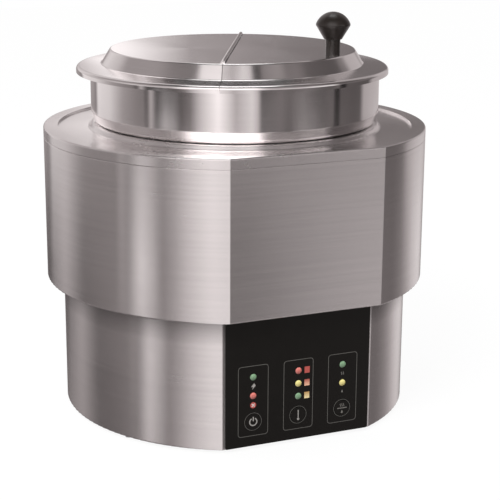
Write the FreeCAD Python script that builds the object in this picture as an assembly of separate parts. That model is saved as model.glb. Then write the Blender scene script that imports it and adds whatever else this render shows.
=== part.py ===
import FreeCAD, Part
import math
import os

# Countertop soup kettle: a heated round well with a flat control front, a lift-out
# inset and a lid in two hinged halves. Millimetres, +Z up, the control front faces -Y.
# Everything is modelled about the well's axis and moved on export, so that the origin
# lies under the middle of the bounding box.

V = FreeCAD.Vector
UP = V(0, 0, 1)
BACK = V(0, 1, 0)

# Housing
upper_radius = 185.0
step_width = 16.0
deck_width = 54.5
flat_width = 150.0
foot_gap = 3.0
base_height = 126.0
upper_height = 148.0
sheet = 1.2
bend_radius = 2.0
edge_round = 1.6
seam_round = 0.6
cover_skirt = 9.4
cover_seam = 0.4
joggle_overlap = 12.0
joggle_play = 0.2
recess_border = 13.7
recess_front = 3.2
recess_depth = 2.0
recess_round = 1.2
recess_corner = 20.0
base_flange = 12.0
flange_play = 4.0
flange_setback = 4.0

# Heated well
well_wall = 1.0
well_depth = 172.0
well_corner = 14.0
well_flange = 18.0
rim_rise = 2.6
rim_corner = 2.3
bead_width = 10.5
bead_slope = 3.0
bead_round = 2.6
gasket_thickness = 0.6

# Lift-out inset
inset_wall = 0.9
inset_play = 6.0
inset_corner = 24.0
inset_floor_gap = 14.0
collar_reach = 8.5
collar_height = 52.8
shoulder_round = 6.0
taper_width = 3.0
taper_height = 11.0
taper_round = 4.0
inset_rim_width = 5.0
inset_rim_drop = 4.0
inset_rim_round = 1.9
seat_gap = 0.3

# Lid
lid_sheet = 0.9
bevel_width = 8.5
bevel_height = 13.5
brim_reach = 6.0
brim_width = 24.0
brim_drop = 2.0
brim_round = 3.6
lip_depth = 6.0
crease_round = 1.6
seam_gap = 0.5
hinge_turn = 27.0
lid_slip = 2.4

# Hinge along the lid's middle
pin_radius = 1.0
pin_play = 0.3
knuckle_wall = 0.6
hinge_rise = 0.5
hinge_play = 0.4
hinge_end_gap = 4.0
knuckle_count = 5
knuckle_gap = 0.3
leaf_width = 14.0
leaf_sheet = 0.8

# Lid knob
knob_inset = 10.1
knob_bearing = -26.0
knob_stem_radius = 6.9
knob_neck_radius = 8.3
knob_neck_height = 15.0
knob_radius = 16.2
knob_shoulder_height = 28.0
knob_height = 40.0
knob_edge_round = 2.6
knob_bore_depth = 14.0
knob_screw_play = 2.0
washer_radius = 6.0
washer_thickness = 0.8

# Control front
panel_side_margin = 2.2
panel_end_margin = 1.0
panel_thickness = 1.6
panel_corner = 2.0
window_side = 6.5
window_height = 68.0
window_sill = 10.5
column_pitch = 45.3
button_height = 24.7
button_radius = 7.6
button_play = 0.35
button_proud = 0.5
button_travel = 0.6
button_flange = 1.6
button_flange_thickness = 1.2
button_stem_radius = 3.0
button_edge_round = 0.3
lamp_radius = 3.1
lamp_proud = 1.0
lamp_play = 0.2
lamp_height = 67.7
lamp_pair_pitch = 18.0
lamp_row_pitch = 12.4

# Control board
board_gap = 7.2
board_thickness = 1.6
board_side = 9.0
board_height = 80.0
board_sill = 6.0
spacer_radius = 3.0
spacer_inset = 4.0
switch_size = 6.0
switch_height = 2.4
switch_plunger_radius = 1.7
switch_plunger_length = 1.0
chip_size = 14.0
chip_thickness = 2.0
connector_size = (24.0, 10.0, 9.0)
cable_radius = 2.2
cable_bend = 18.0
cable_sidestep = 22.0

# Heating stack under the well
spreader_inset = 16.5
spreader_thickness = 8.0
element_radius = 4.0
element_play = 0.3
element_inset = 29.0
element_gap = 35.4
element_bend = 8.0
element_leg = 32.0
retainer_thickness = 1.2
retainer_width = 48.0
pad_thickness = 13.0
pad_reach = 2.5
pad_hole_radius = 24.0
shield_play = 0.3
shield_sheet = 1.2
shield_rim = 8.0
post_radius = 5.0
post_inset = 30.0
limiter_radius = 10.0
limiter_height = 6.0

# Wall heater and insulation
band_play = 0.3
band_thickness = 3.0
band_lift = 20.0
band_headroom = 52.0
band_gap = 8.0
lug_reach = 10.0
lug_thickness = 2.4
lug_height = 16.0
wrap_play = 1.0
wrap_thickness = 8.0
wrap_headroom = 18.4
wrap_slot = 34.0
sensor_size = (18.0, 4.0, 26.0)
sensor_lift = 8.0

# Power parts on the bottom plate
sink_size = (76.0, 84.0, 30.0)
sink_floor = 6.0
sink_fins = 8
sink_fin_thickness = 2.4
sink_post_gap = 2.7
sink_forward = 22.0
relay_size = (44.0, 58.0, 22.0)
transformer_core = (50.0, 20.0, 42.0)
transformer_window = (14.0, 26.0)
transformer_coil_bulge = 8.0
transformer_play = 0.3
transformer_post_gap = 11.7
transformer_forward = 34.0
terminal_size = (48.0, 20.0, 18.0)
terminal_well = (7.0, 12.0, 6.0)
terminal_count = 4
lead_radius = 1.6

# Bottom plate, feet and cord gland
plate_play = 0.4
foot_radius = 12.0
foot_inset = 29.0
foot_chamfer = 1.0
foot_recess_play = 1.3
foot_recess_cover = 0.4
vent_length = 40.0
vent_width = 4.0
vent_pitch = 12.0
vent_count = 6
vent_place = (55.0, 18.0)
gland_height = 38.0
gland_bore = 4.6
gland_thread_radius = 8.0
gland_play = 0.3
gland_cap_radius = 11.0
gland_reach = 10.0
gland_tail = 20.0
gland_nut_width = 24.0
gland_nut_length = 5.0

# Screws
screw_radius = 1.9
screw_play = 0.2
screw_head_radius = 3.7
screw_head = 2.2
nut_width = 7.0
nut_height = 3.2
screw_angles = [-30, 30, 90, 150, 210]
flange_inset = 7.0
foot_angles = [45, 135, 225, 315]
post_angles = [20, 70, 160, 200, 340]
board_screw_radius = 1.4
board_screw_head_radius = 2.7
board_screw_head = 1.8
board_screw_depth = 5.0

# Sizes and places that follow
base_radius = upper_radius - step_width
well_radius = upper_radius - deck_width
base_flat = math.sqrt(base_radius**2 - flat_width**2 / 4)
upper_flat = math.sqrt(upper_radius**2 - flat_width**2 / 4)
axis_shift = V(0, (upper_flat - upper_radius) / 2, 0)
plate_bottom = foot_gap + sheet
plate_top = plate_bottom + sheet
overhang = foot_gap + base_height
deck = overhang + upper_height
recess_radius = upper_radius - recess_border
recess_flat = upper_flat - recess_front
recess_floor = deck - recess_depth
deck_under = recess_floor - sheet
rim_top = deck + rim_rise
bead_radius = well_radius + bead_width
well_edge = deck_under - gasket_thickness
well_edge_radius = well_radius + well_flange
well_floor = rim_top - well_depth
well_under = well_floor - well_wall
collar_radius = well_radius + collar_reach
collar_foot = collar_radius - taper_width
taper_bend = math.tan(math.atan2(taper_height, taper_width) / 2)
seat_across = well_radius + rim_corner - collar_foot + shoulder_round * taper_bend
seat_reach = shoulder_round + rim_corner + seat_gap
shoulder = rim_top - rim_corner - shoulder_round + math.sqrt(seat_reach**2 - seat_across**2)
inset_radius = well_radius - inset_play
inset_bottom = well_floor + inset_floor_gap
inset_rim_top = shoulder + collar_height
inset_rim_radius = collar_radius + inset_rim_width
brim_radius = inset_rim_radius + brim_reach
bevel_radius = brim_radius - brim_width
lid_flat_radius = bevel_radius - bevel_width
brim_slope = brim_drop / brim_width
brim_over_rim = inset_rim_top + seat_gap + lid_sheet * math.sqrt(1 + brim_slope**2)
brim_inner = brim_over_rim + brim_slope * (inset_rim_radius + lid_slip - bevel_radius)
brim_edge = brim_inner - brim_drop
lid_top = brim_inner + bevel_height
lid_under = lid_top - lid_sheet
hinge_axis = lid_top + hinge_rise
hinge_half = lid_flat_radius - hinge_end_gap
knuckle_bore = pin_radius + pin_play
knuckle_radius = knuckle_bore + knuckle_wall
hinge_slot = knuckle_radius + hinge_play
panel_back = base_flat
panel_front = panel_back + panel_thickness
wall_back = base_flat - sheet
window_width = 2 * (column_pitch + button_radius + button_flange + window_side)
board_width = window_width + 2 * board_side
board_front = wall_back - board_gap
board_back = board_front - board_thickness
board_middle = foot_gap + board_sill + board_height / 2
columns = [-column_pitch, 0, column_pitch]
spreader_radius = well_radius - spreader_inset
spreader_under = well_under - spreader_thickness
element_low = spreader_under - element_radius
retainer_top = element_low - element_play
pad_top = retainer_top - retainer_thickness
pad_under = pad_top - pad_thickness
shield_under = pad_under - shield_sheet
pad_radius = well_radius + well_wall + pad_reach
band_inner = well_radius + well_wall + band_play
band_outer = band_inner + band_thickness
flange_hole_radius = band_outer + flange_play
band_bottom = well_floor + band_lift
band_height = well_depth - band_lift - band_headroom
band_middle = band_bottom + band_height / 2
wrap_inner = band_outer + wrap_play
wrap_outer = wrap_inner + wrap_thickness
wrap_bottom = overhang + sheet
wrap_height = deck_under - wrap_headroom - wrap_bottom
relay_bottom = plate_top + sink_size[2]
relay_top = relay_bottom + relay_size[2]
element_ring_radius = spreader_radius - element_inset
element_half_gap = math.asin(element_gap / 2 / element_ring_radius)
leg_across = element_gap / 2 - element_bend * math.cos(element_half_gap)
leg_back = element_ring_radius * math.cos(element_half_gap) + element_bend * math.sin(element_half_gap)
leg_end = spreader_under - element_bend - element_leg
leg_hole_radius = element_radius + element_bend / 2
terminal_top = plate_top + terminal_size[2]
screw_hole = screw_radius + screw_play
board_screw_hole = board_screw_radius + screw_play
foot_recess_depth = screw_head + foot_recess_cover


def on_circle(radius, degrees, z=0):
    """The point at an angle from +X on a circle about the axis."""
    turn = math.radians(degrees)
    return V(radius * math.cos(turn), radius * math.sin(turn), z)


def cylinder(radius, bottom, height, at=V(0, 0, 0), way=UP):
    """A cylinder that starts the given distance along its way from a point."""
    return Part.makeCylinder(radius, height, at + way * bottom, way)


def ring(outer, inner, bottom, height, at=V(0, 0, 0), way=UP):
    """A round tube with a through bore."""
    return cylinder(outer, bottom, height, at, way).cut(cylinder(inner, bottom, height, at, way))


def block(size, middle, bottom):
    """A box with its footprint centred on a point."""
    corner = V(middle[0] - size[0] / 2, middle[1] - size[1] / 2, bottom)
    return Part.makeBox(size[0], size[1], size[2], corner)


def front_block(width, height, depth, x, z, front):
    """A box centred on a point of the control front, reaching back from a distance off the axis."""
    return Part.makeBox(width, depth, height, V(x - width / 2, -front, z - height / 2))


def hexagon(across, bottom, height, at=V(0, 0, 0), way=UP):
    """A hexagonal prism of a width across flats."""
    arm = way.cross(V(way.y, way.z, way.x)) * (across / math.sqrt(3))
    corners = [FreeCAD.Rotation(way, 60 * step).multVec(arm) + at + way * bottom for step in range(6)]
    return Part.Face(Part.makePolygon(corners + corners[:1])).extrude(way * height)


def is_upright(edge):
    """Whether an edge is a straight line along Z."""
    return isinstance(edge.Curve, Part.Line) and abs(edge.Curve.Direction.z) > 0.99


def level_edges(solid, z):
    """The edges of a solid that lie flat at a height."""
    near = 0.001
    boxes = [(edge, edge.BoundBox) for edge in solid.Edges]
    return [edge for edge, box in boxes if abs(box.ZMin - z) < near and box.ZLength < near]


def flat_round(radius, flat, bottom, top, corner):
    """A round prism with one flat at the front, its two upright corners bent to a radius."""
    half = math.sqrt(radius**2 - flat**2)
    left = V(-half, -flat, bottom)
    right = V(half, -flat, bottom)
    arc = Part.Arc(right, V(0, radius, bottom), left).toShape()
    outline = Part.Wire([arc, Part.makeLine(left, right)])
    solid = Part.Face(outline).extrude(V(0, 0, top - bottom))
    return solid.makeFillet(corner, [edge for edge in solid.Edges if is_upright(edge)])


def flat_round_tube(radius, flat, wall, bottom, top, corner):
    """The bent sheet wall of a round prism with one flat."""
    outside = flat_round(radius, flat, bottom, top, corner)
    return outside.cut(flat_round(radius - wall, flat - wall, bottom, top, corner - wall))


def rounded_edges(path):
    """Lines and arcs along points of radius, height and corner round, in the XZ plane."""
    edges = []
    last = V(path[0][0], 0, path[0][1])
    for before, here, after in zip(path, path[1:], path[2:]):
        corner = V(here[0], 0, here[1])
        back = (V(before[0], 0, before[1]) - corner).normalize()
        ahead = (V(after[0], 0, after[1]) - corner).normalize()
        half = back.getAngle(ahead) / 2
        start = corner + back * (here[2] / math.tan(half))
        end = corner + ahead * (here[2] / math.tan(half))
        bisector = (back + ahead).normalize()
        crown = corner + bisector * (here[2] / math.sin(half) - here[2])
        edges.append(Part.makeLine(last, start))
        edges.append(Part.Arc(start, crown, end).toShape())
        last = end
    edges.append(Part.makeLine(last, V(path[-1][0], 0, path[-1][1])))
    return edges


def offset_path(path, wall):
    """A path moved to its left by a wall, each corner keeping the same centre."""
    ways = [V(b[0] - a[0], 0, b[1] - a[1]).normalize() for a, b in zip(path, path[1:])]
    sides = [V(-way.z, 0, way.x) for way in ways]
    moved = [(path[0][0] + sides[0].x * wall, path[0][1] + sides[0].z * wall)]
    for point, way, side, next_way, next_side in zip(path[1:], ways, sides, ways[1:], sides[1:]):
        turn = way.x * next_way.z - way.z * next_way.x
        share = wall / (1 + side.dot(next_side))
        shift = (side + next_side) * share
        tighter = wall if turn > 0 else -wall
        moved.append((point[0] + shift.x, point[1] + shift.z, point[2] - tighter))
    moved.append((path[-1][0] + sides[-1].x * wall, path[-1][1] + sides[-1].z * wall))
    return moved


def turned_sheet(path, wall):
    """A spun sheet-metal form: a path and its offset, turned about the axis."""
    inner = offset_path(path, wall)
    start = Part.makeLine(V(path[0][0], 0, path[0][1]), V(inner[0][0], 0, inner[0][1]))
    end = Part.makeLine(V(path[-1][0], 0, path[-1][1]), V(inner[-1][0], 0, inner[-1][1]))
    edges = [start] + rounded_edges(path) + [end] + rounded_edges(inner)
    outline = Part.Wire(Part.__sortEdges__(edges))
    return Part.Face(outline).revolve(V(0, 0, 0), UP, 360)


def screws(places, bottom, length):
    """Pan-head screws with their heads below, one at each place."""
    made = []
    for place in places:
        head = cylinder(screw_head_radius, bottom - screw_head, screw_head, place)
        head = head.makeFillet(screw_head / 3, level_edges(head, bottom - screw_head))
        made.append(head.fuse(cylinder(screw_radius, bottom, length, place)).removeSplitter())
    return Part.makeCompound(made)


def nuts(places, bottom):
    """Hexagon nuts, one at each place."""
    return Part.makeCompound([hexagon(nut_width, bottom, nut_height, place).cut(
        cylinder(screw_hole, bottom, nut_height, place)) for place in places])


def drill(solid, places, radius, bottom, height):
    """Round upright holes, one at each place."""
    return solid.cut([cylinder(radius, bottom, height, place) for place in places])


foot_places = [on_circle(base_radius - foot_inset, angle) for angle in foot_angles]
flange_places = [on_circle(base_radius - flange_inset, angle) for angle in screw_angles]
post_places = [on_circle(pad_radius - post_inset, angle) for angle in post_angles]
post_side = post_places[0].x - post_radius
sink_place = (sink_post_gap + sink_size[0] / 2 - post_side, -sink_forward)
transformer_place = (post_side - transformer_post_gap - transformer_core[0] / 2, -transformer_forward)
connector_place = (sink_place[0] + cable_sidestep, relay_bottom + relay_size[2] / 2)
leg_places = [V(side * leg_across, leg_back, 0) for side in (-1, 1)]
gland_axis = V(0, 0, foot_gap + gland_height)
knob_place = on_circle(lid_flat_radius - knob_inset, knob_bearing)
button_z = foot_gap + button_height
spacer_x = board_width / 2 - spacer_inset
spacer_z = board_height / 2 - spacer_inset
spacer_places = [V(x, 0, board_middle + z) for x in (-spacer_x, spacer_x) for z in (-spacer_z, spacer_z)]
lamp_top = foot_gap + lamp_height
lamp_low = lamp_top - lamp_pair_pitch
lamp_middle = lamp_top - lamp_row_pitch
lamp_last = lamp_middle - lamp_row_pitch
green_lamps = [V(columns[0], 0, lamp_top), V(columns[1], 0, lamp_last), V(columns[2], 0, lamp_top)]
red_lamps = [V(columns[0], 0, lamp_low), V(columns[1], 0, lamp_top)]
yellow_lamps = [V(columns[1], 0, lamp_middle), V(columns[2], 0, lamp_low)]


def make_base_shell():
    """The lower wall with its two inward flanges, the window behind the panel and the gland hole."""
    shell = flat_round(base_radius, base_flat, foot_gap, overhang, bend_radius)
    shell = shell.makeFillet(edge_round, level_edges(shell, foot_gap))
    hollow = flat_round(base_radius - sheet, base_flat - sheet, plate_bottom, overhang - sheet,
                        bend_radius - sheet)
    mouth = flat_round(base_radius - base_flange, base_flat - base_flange, foot_gap, plate_bottom,
                       bend_radius)
    hole = cylinder(flange_hole_radius + flange_setback, overhang - sheet, sheet)
    middle = foot_gap + window_sill + window_height / 2
    window = front_block(window_width, window_height, 2 * sheet, 0, middle, base_flat + sheet / 2)
    bore = cylinder(gland_thread_radius + gland_play, 0, base_radius + sheet, gland_axis, BACK)
    shell = shell.cut([hollow, mouth, hole, window, bore])
    shell = drill(shell, flange_places, screw_hole, foot_gap, sheet)
    return drill(shell, flange_places, screw_hole, overhang - sheet, sheet)


def make_bottom_plate():
    """The plate that closes the base, with rows of vent slots."""
    plate = flat_round(base_radius - sheet - plate_play, base_flat - sheet - plate_play,
                       plate_bottom, plate_top, bend_radius)
    slots = []
    for side in (-1, 1):
        for step in range(vent_count):
            y = vent_place[1] + vent_pitch * (step - (vent_count - 1) / 2)
            slots.append(block((vent_length, vent_width, sheet), (side * vent_place[0], y), plate_bottom))
    plate = plate.cut(slots)
    plate = drill(plate, foot_places, screw_hole, plate_bottom, sheet)
    return drill(plate, flange_places, screw_hole, plate_bottom, sheet)


def make_feet():
    """Low rubber feet, each recessed for its screw head."""
    made = []
    for place in foot_places:
        foot = cylinder(foot_radius, 0, plate_bottom, place)
        foot = foot.makeChamfer(foot_chamfer, level_edges(foot, 0))
        foot = foot.cut(cylinder(screw_head_radius + foot_recess_play, 0, foot_recess_depth, place))
        made.append(foot.cut(cylinder(screw_hole, 0, plate_bottom, place)))
    return Part.makeCompound(made)


def make_upper_shell():
    """The wide wall, bent in to a step over the base, and the joggled edge under the cover."""
    top = deck - cover_skirt - cover_seam
    shell = flat_round(upper_radius, upper_flat, overhang, top, bend_radius)
    shell = shell.makeFillet(edge_round, level_edges(shell, overhang))
    shell = shell.makeFillet(seam_round, level_edges(shell, top))
    hollow = flat_round(upper_radius - sheet, upper_flat - sheet, overhang + sheet, top, bend_radius - sheet)
    shell = shell.cut([hollow, cylinder(flange_hole_radius, overhang, sheet)])
    inset = sheet + joggle_play
    bottom = top - joggle_overlap / 2
    joggle = flat_round_tube(upper_radius - inset, upper_flat - inset, sheet, bottom,
                             bottom + joggle_overlap, bend_radius)
    weld = flat_round_tube(upper_radius - sheet, upper_flat - sheet, sheet, bottom, top, bend_radius)
    shell = shell.fuse([weld, joggle]).removeSplitter()
    return drill(shell, flange_places, screw_hole, overhang, sheet)


def make_top_cover():
    """The deck: a skirted cover with a shallow recess and a raised bead round the well's opening."""
    skirt = deck - cover_skirt
    cover = flat_round(upper_radius, upper_flat, skirt, deck, bend_radius)
    cover = cover.makeFillet(edge_round, level_edges(cover, deck))
    hollow = flat_round(upper_radius - sheet, upper_flat - sheet, skirt, deck - sheet, bend_radius - sheet)
    hollow = hollow.makeFillet(edge_round - sheet, level_edges(hollow, deck - sheet))
    tray = flat_round(recess_radius + sheet, recess_flat + sheet, deck_under, deck, recess_corner + sheet)
    recess = flat_round(recess_radius, recess_flat, recess_floor, deck, recess_corner)
    recess = recess.makeFillet(recess_round, level_edges(recess, recess_floor))
    foot = bead_radius + bead_round
    outside = [
        (foot, recess_floor),
        (bead_radius, recess_floor, bead_round),
        (bead_radius - bead_slope, rim_top, bead_round),
        (well_radius, rim_top, rim_corner),
        (well_radius, deck_under),
    ]
    bead = turned_sheet(outside, sheet)
    cover = cover.cut(hollow).fuse(tray).cut([recess, cylinder(foot, deck_under, recess_depth + sheet)])
    return cover.fuse(bead).removeSplitter()


def make_well_pan():
    """The deep-drawn well with a flange that presses up against the deck."""
    inside = [
        (0, well_floor),
        (well_radius, well_floor, well_corner),
        (well_radius, well_edge, rim_corner),
        (well_edge_radius, well_edge),
    ]
    return turned_sheet(inside, -well_wall)


def make_well_gasket():
    """The seal between the well's flange and the underside of the deck."""
    return ring(well_edge_radius, bead_radius, well_edge, gasket_thickness)


def make_inset_pot():
    """The soup inset: body, round shoulder, tapered collar and rolled rim."""
    outside = [
        (0, inset_bottom),
        (inset_radius, inset_bottom, inset_corner),
        (inset_radius, shoulder, inset_rim_round),
        (collar_foot, shoulder, shoulder_round),
        (collar_radius, shoulder + taper_height, taper_round),
        (collar_radius, inset_rim_top - inset_wall, inset_rim_round),
        (inset_rim_radius - inset_wall, inset_rim_top - inset_wall, inset_rim_round - inset_wall),
        (inset_rim_radius - inset_wall, inset_rim_top - inset_wall - inset_rim_drop),
    ]
    return turned_sheet(outside, inset_wall)


def make_spreader():
    """The aluminium plate under the well, grooved for the heating element."""
    plate = cylinder(spreader_radius, spreader_under, spreader_thickness)
    groove = Part.makeTorus(element_ring_radius, element_radius + element_play, V(0, 0, spreader_under))
    return plate.cut(groove)


def make_element():
    """The tubular heating element: an open ring whose ends bend down into two legs."""
    z = spreader_under
    front = V(0, -element_ring_radius, z)
    edges = []
    for leg in leg_places:
        side = math.copysign(1, leg.x)
        end = V(side * element_gap / 2, element_ring_radius * math.cos(element_half_gap), z)
        quarter = V(side * element_ring_radius, 0, z)
        foot = V(leg.x, leg.y, leg_end)
        knee = V(leg.x, leg.y, z - element_bend)
        inward = (V(leg.x, leg.y, z) - end).normalize()
        elbow = end + inward * (element_bend * math.sin(math.pi / 4))
        elbow = elbow - UP * (element_bend * (1 - math.cos(math.pi / 4)))
        edges.append(Part.makeLine(foot, knee))
        edges.append(Part.Arc(knee, elbow, end).toShape())
        edges.append(Part.Arc(end, quarter, front).toShape())
    path = Part.Wire(Part.__sortEdges__(edges))
    start = path.OrderedVertexes[0].Point
    section = Part.Wire([Part.makeCircle(element_radius, start, UP)])
    return path.makePipeShell([section], True, False)


def make_retainer():
    """The ring plate that holds the element up in its groove."""
    half = retainer_width / 2
    plate = ring(element_ring_radius + half, element_ring_radius - half, pad_top, retainer_thickness)
    return drill(plate, leg_places, leg_hole_radius, pad_top, retainer_thickness)


def make_pad():
    """The insulating pad under the heaters."""
    pad = ring(pad_radius, pad_hole_radius, pad_under, pad_thickness)
    return drill(pad, leg_places, leg_hole_radius, pad_under, pad_thickness)


def make_shield():
    """The heat shield: a shallow dish that carries the pad."""
    wall = pad_radius + shield_play
    dish = cylinder(wall + shield_sheet, shield_under, shield_sheet + shield_rim)
    dish = dish.cut(cylinder(wall, pad_under, shield_rim))
    dish = dish.cut(cylinder(pad_hole_radius, shield_under, shield_sheet))
    return drill(dish, leg_places, leg_hole_radius, shield_under, shield_sheet)


def make_posts():
    """The posts between the bottom plate and the heat shield."""
    return Part.makeCompound([cylinder(post_radius, plate_top, shield_under - plate_top, place)
                              for place in post_places])


def make_limiter():
    """The over-temperature cut-out under the middle of the spreader, with its two tabs."""
    body = cylinder(limiter_radius, spreader_under - limiter_height, limiter_height)
    tab = (limiter_radius / 2, sheet, limiter_radius)
    tabs = [block(tab, (side * limiter_radius / 2, 0), spreader_under - limiter_height - tab[2])
            for side in (-1, 1)]
    return body.fuse(tabs).removeSplitter()


def make_band_heater():
    """The band heater round the well's wall, split at the back between two lugs."""
    band = ring(band_outer, band_inner, band_bottom, band_height)
    split = Part.makeBox(band_gap, 2 * band_thickness, band_height,
                         V(-band_gap / 2, band_inner - band_thickness, band_bottom))
    band = band.cut(split)
    lugs = []
    for side in (-1, 1):
        x = side * (band_gap + lug_thickness) / 2
        reach = band_thickness / 2 + lug_reach
        lug = block((lug_thickness, reach, lug_height), (x, band_outer - band_thickness / 2 + reach / 2),
                    band_middle - lug_height / 2)
        lugs.append(lug)
    band = band.fuse(lugs).removeSplitter()
    return band.cut(cylinder(screw_hole, -flat_width, 2 * flat_width, band_bolt_place(), V(1, 0, 0)))


def band_bolt_place():
    """The middle of the bolt that closes the band heater."""
    return V(0, band_outer + lug_reach / 2, band_middle)


def make_band_bolt():
    """The bolt through the band heater's lugs, with its head."""
    side = V(1, 0, 0)
    half = band_gap / 2 + lug_thickness
    shank = cylinder(screw_radius, -half, 2 * half + nut_height + sheet, band_bolt_place(), side)
    head = hexagon(nut_width, -half - nut_height, nut_height, band_bolt_place(), side)
    return shank.fuse(head).removeSplitter()


def make_band_nut():
    """The nut on the band heater's bolt."""
    side = V(1, 0, 0)
    half = band_gap / 2 + lug_thickness
    nut = hexagon(nut_width, half, nut_height, band_bolt_place(), side)
    return nut.cut(cylinder(screw_hole, half, nut_height, band_bolt_place(), side))


def make_wrap():
    """The insulating sleeve round the band heater, slotted for its lugs and the sensor."""
    wrap = ring(wrap_outer, wrap_inner, wrap_bottom, wrap_height)
    slot = Part.makeBox(wrap_slot, 4 * wrap_thickness, wrap_height,
                        V(-wrap_slot / 2, wrap_inner - 2 * wrap_thickness, wrap_bottom))
    return wrap.cut(slot)


def make_sensor():
    """The temperature sensor, a block on the well's wall above the band heater."""
    wall = well_radius + well_wall
    body = block((sensor_size[0], 2 * sensor_size[1], sensor_size[2]), (0, wall),
                 band_bottom + band_height + sensor_lift)
    return body.cut(cylinder(wall, band_bottom, 2 * band_height))


def make_panel():
    """The control panel over the whole front flat, with holes for its buttons and lamps."""
    width = flat_width - 2 * panel_side_margin
    height = base_height - 2 * panel_end_margin
    middle = foot_gap + base_height / 2
    panel = front_block(width, height, panel_thickness, 0, middle, panel_front)
    corners = [edge for edge in panel.Edges if abs(edge.tangentAt(edge.FirstParameter).y) > 0.99]
    panel = panel.makeFillet(panel_corner, corners)
    for x in columns:
        hole = cylinder(button_radius + button_play, -panel_front, panel_thickness, V(x, 0, button_z), BACK)
        panel = panel.cut(hole)
    lamps = green_lamps + red_lamps + yellow_lamps
    return panel.cut([cylinder(lamp_radius + lamp_play, -panel_front, panel_thickness, place, BACK)
                      for place in lamps])


def make_lamps(places):
    """Indicator lamps that stand on the board and show through the panel as low domes."""
    dome = (lamp_radius**2 + lamp_proud**2) / (2 * lamp_proud)
    made = []
    for place in places:
        stem = cylinder(lamp_radius, -panel_front, panel_front - board_front, place, BACK)
        nose = cylinder(lamp_radius, -panel_front - lamp_proud, lamp_proud, place, BACK)
        nose = nose.common(Part.makeSphere(dome, place + BACK * (dome - panel_front - lamp_proud)))
        made.append(stem.fuse(nose).removeSplitter())
    return Part.makeCompound(made)


def make_button(x):
    """A round push button with a flange behind the panel and a stem to its switch."""
    place = V(x, 0, button_z)
    front = -panel_front - button_proud
    flange_front = -panel_back + button_play
    cap = cylinder(button_radius, front, flange_front - front, place, BACK)
    nose = [edge for edge in cap.Edges if edge.BoundBox.YMax < -panel_front]
    cap = cap.makeFillet(button_edge_round, nose)
    flange = cylinder(button_radius + button_flange, flange_front, button_flange_thickness, place, BACK)
    stem_end = -board_front - switch_height - switch_plunger_length - button_travel - seat_gap
    stem = cylinder(button_stem_radius, flange_front, stem_end - flange_front, place, BACK)
    return cap.fuse([flange, stem]).removeSplitter()


def make_switches():
    """The tactile switches behind the buttons."""
    made = []
    for x in columns:
        front = board_front + switch_height
        body = front_block(switch_size, switch_size, switch_height, x, button_z, front)
        plunger = cylinder(switch_plunger_radius, -front - switch_plunger_length, switch_plunger_length,
                           V(x, 0, button_z), BACK)
        made.append(body.fuse(plunger).removeSplitter())
    return Part.makeCompound(made)


def make_board():
    """The printed board behind the panel."""
    board = front_block(board_width, board_height, board_thickness, 0, board_middle, board_front)
    return board.cut([cylinder(board_screw_hole, -board_front, board_thickness, place, BACK)
                      for place in spacer_places])


def make_spacers():
    """The tubes that hold the board off the wall."""
    return Part.makeCompound([ring(spacer_radius, board_screw_hole, -wall_back, board_gap, place, BACK)
                              for place in spacer_places])


def make_board_screws():
    """The screws through the board into its spacers."""
    made = []
    for place in spacer_places:
        head = cylinder(board_screw_head_radius, -board_back, board_screw_head, place, BACK)
        length = board_thickness + board_screw_depth
        made.append(head.fuse(cylinder(board_screw_radius, -board_back - length, length, place, BACK)))
    return Part.makeCompound([screw.removeSplitter() for screw in made])


def make_chip():
    """The controller chip on the board's back."""
    return front_block(chip_size, chip_size, chip_thickness, column_pitch / 2, board_middle, board_back)


def make_connector():
    """The cable connector on the board's back."""
    x, z = connector_place
    width, height, depth = connector_size
    return front_block(width, height, depth, x, z, board_back)


def make_board_cable():
    """The cable from the board's connector through a double bend to the front of the relay."""
    x, z = connector_place
    start = V(x, -board_back + connector_size[2], z)
    end = V(sink_place[0], sink_place[1] - relay_size[1] / 2, z)
    middle = (start + end) * 0.5
    turn = math.acos(1 - cable_sidestep / (2 * cable_bend))
    along = BACK * (cable_bend * math.sin(turn))
    across = V(cable_sidestep / 2, 0, 0)
    first = middle + across - along
    last = middle - across + along
    spoke = V(math.cos(turn / 2), math.sin(turn / 2), 0) * cable_bend
    centre = V(cable_bend, 0, 0)
    path = Part.Wire([
        Part.makeLine(start, first),
        Part.Arc(first, first - centre + spoke, middle).toShape(),
        Part.Arc(middle, last + centre - spoke, last).toShape(),
        Part.makeLine(last, end),
    ])
    section = Part.Wire([Part.makeCircle(cable_radius, start, BACK)])
    return path.makePipeShell([section], True, False)


def make_heat_sink():
    """The relay's finned heat sink, with its fins pointing down to the vented plate."""
    width, length, height = sink_size
    sink = block((width, length, sink_floor), sink_place, plate_top + height - sink_floor)
    pitch = (width - sink_fin_thickness) / (sink_fins - 1)
    fins = []
    for step in range(sink_fins):
        x = sink_place[0] - width / 2 + sink_fin_thickness / 2 + pitch * step
        fins.append(block((sink_fin_thickness, length, height), (x, sink_place[1]), plate_top))
    return sink.fuse(fins).removeSplitter()


def make_relay():
    """The solid-state relay that switches the heaters."""
    relay = block(relay_size, sink_place, relay_bottom)
    uprights = [edge for edge in relay.Edges if is_upright(edge)]
    return relay.makeFillet(panel_corner, uprights)


def make_transformer_core():
    """The laminated core of the control transformer, a frame with two windows."""
    core = block(transformer_core, transformer_place, plate_top)
    across, tall = transformer_window
    bottom = plate_top + (transformer_core[2] - tall) / 2
    windows = []
    for side in (-1, 1):
        x = transformer_place[0] + side * transformer_core[0] / 4
        windows.append(block((across, transformer_core[1], tall), (x, transformer_place[1]), bottom))
    return core.cut(windows)


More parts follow.
